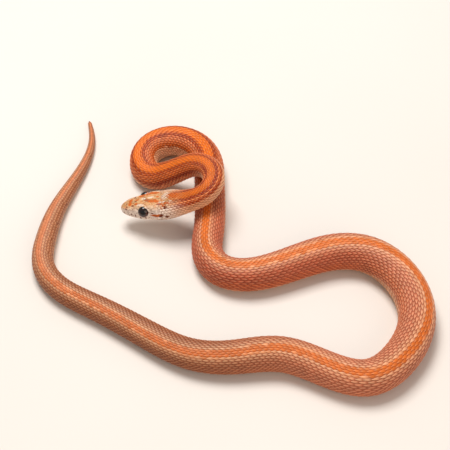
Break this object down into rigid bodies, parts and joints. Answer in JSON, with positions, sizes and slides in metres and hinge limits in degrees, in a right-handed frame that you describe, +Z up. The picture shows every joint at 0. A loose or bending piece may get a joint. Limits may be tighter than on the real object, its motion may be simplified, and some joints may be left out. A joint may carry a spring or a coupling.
{
  "type": "corn snake model",
  "caption": "Life-size model of a young striped corn snake lying in a loose coil with its head resting over its neck.",
  "frame": {"origin": "centre of the snake's box in plan, at the floor it lies on", "axes": "+X along the longer way of the coil, away from the snout; +Y away from the camera; +Z up"},
  "size_m": [0.1135, 0.1035, 0.0167],
  "materials": {
    "head_skin": "smooth scales with a soft gloss",
    "jaw_skin": "smooth scales with a soft gloss",
    "eye": "wet gloss",
    "body_skin": "smooth scales with a soft gloss",
    "tail_skin": "smooth scales with a soft gloss"
  },
  "bodies": {
    "root": {"head": "head_skin", "lower_jaw": "jaw_skin", "eye_left": "eye", "eye_right": "eye", "neck": "body_skin", "body_01": "body_skin", "body_02": "body_skin", "body_03": "body_skin", "body_04": "body_skin", "body_05": "body_skin", "body_06": "body_skin", "body_07": "body_skin", "body_08": "body_skin", "body_09": "body_skin", "body_10": "body_skin", "body_11": "body_skin", "body_12": "body_skin", "body_13": "body_skin", "tail_01": "tail_skin", "tail_02": "tail_skin"}
  },
  "joints": []
}
